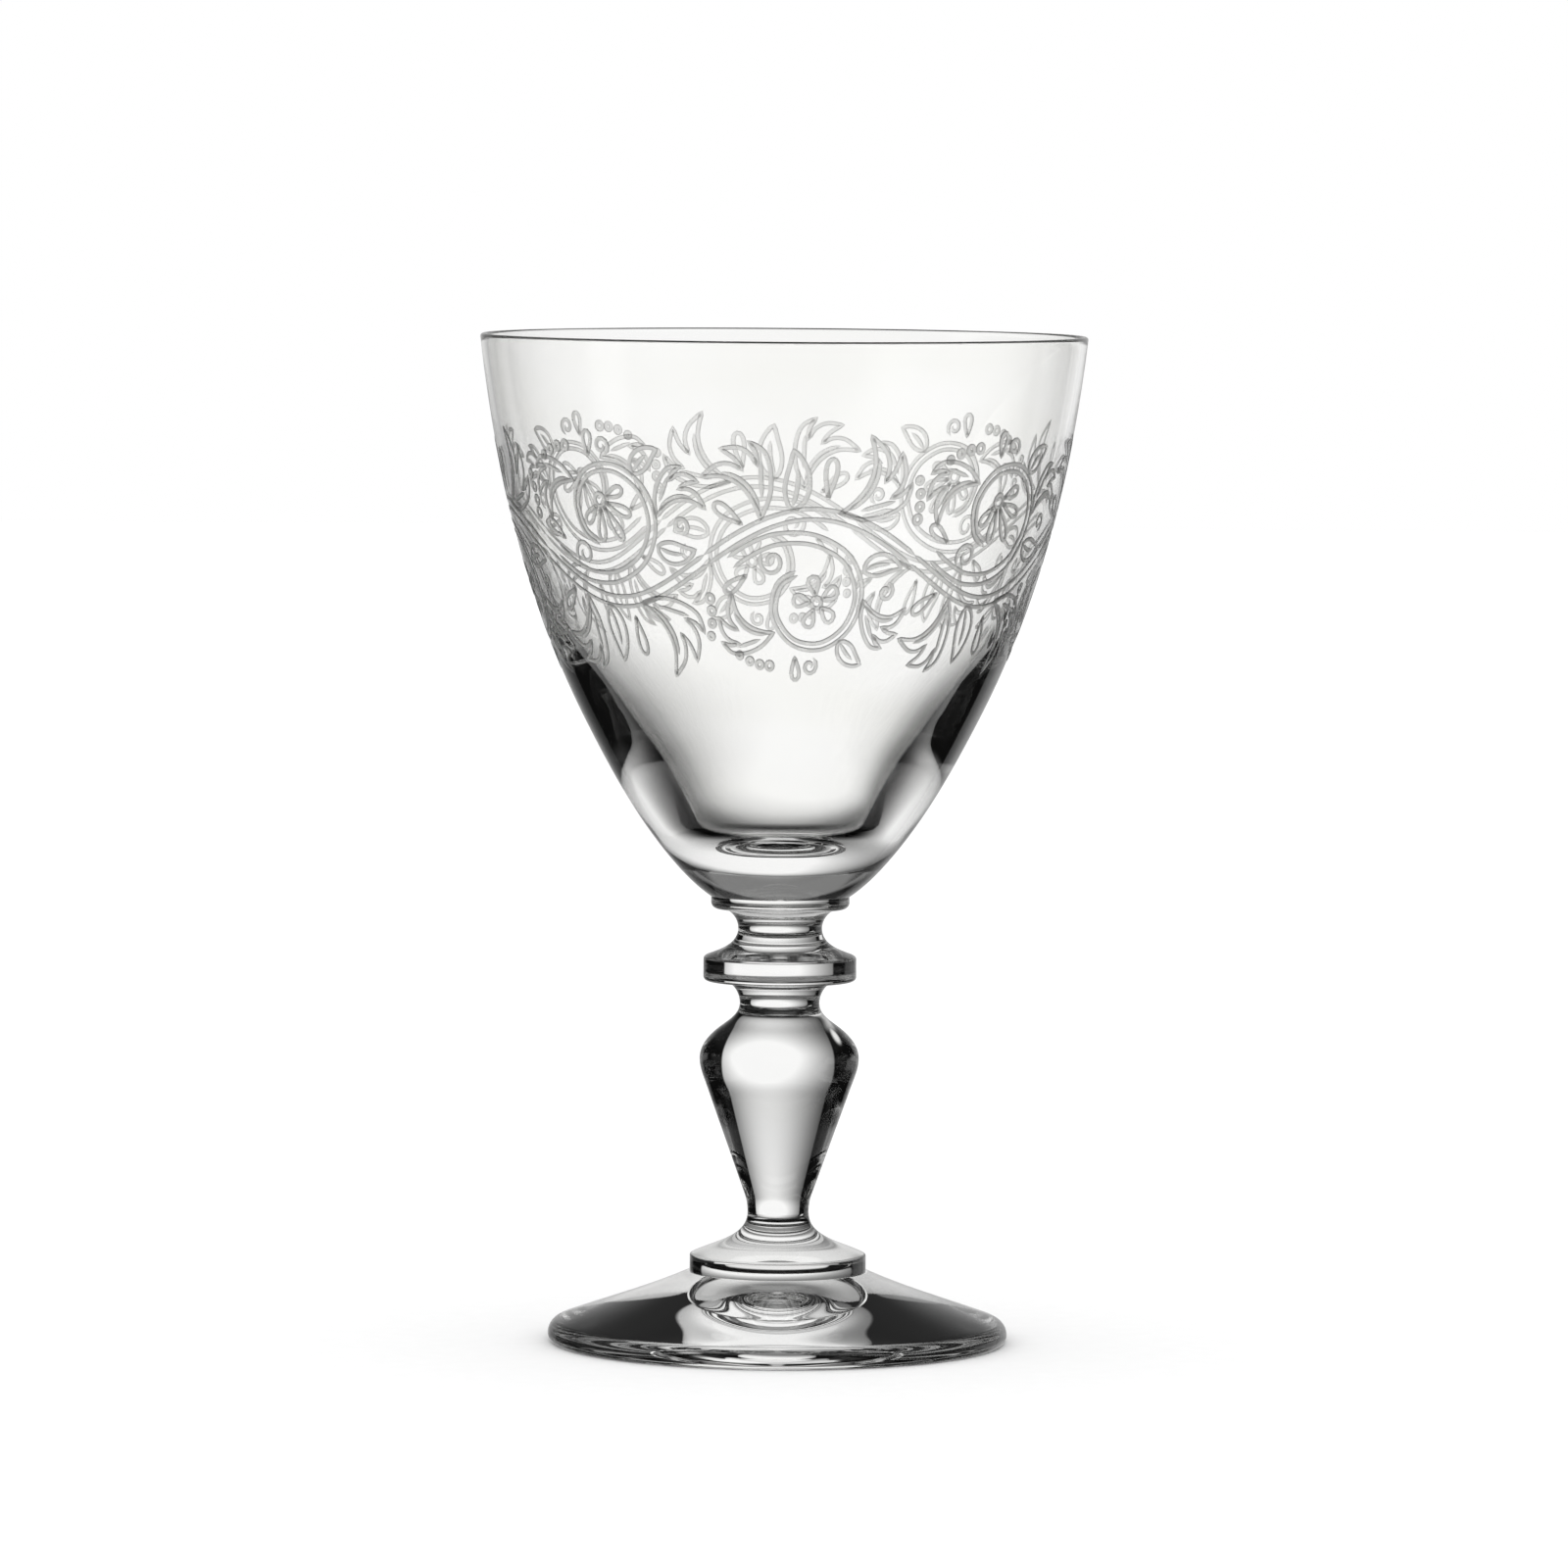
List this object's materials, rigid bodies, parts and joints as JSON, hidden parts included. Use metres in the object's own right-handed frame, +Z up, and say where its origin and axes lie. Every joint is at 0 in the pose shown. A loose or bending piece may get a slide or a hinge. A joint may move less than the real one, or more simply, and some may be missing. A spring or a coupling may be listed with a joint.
{
  "type": "wine goblet",
  "caption": "Clear glass wine goblet: a wide-mouthed bowl with an etched scroll band on a baluster stem with a collar, mereses and a broad conical foot.",
  "frame": {"origin": "on the table under the middle of the foot", "axes": "+Z up along the axis that every body is turned about; the goblet is round, so X and Y may lie either way"},
  "size_m": [0.096, 0.096, 0.16],
  "materials": {
    "clear_glass": "fire-polished clear crystal",
    "etched_glass": "acid-etched, satin"
  },
  "bodies": {
    "root": {"foot": "clear_glass", "foot_merese": "clear_glass", "baluster": "clear_glass", "collar": "clear_glass", "stem_spool": "clear_glass", "bowl_merese": "clear_glass", "bowl": "clear_glass"}
  },
  "joints": []
}
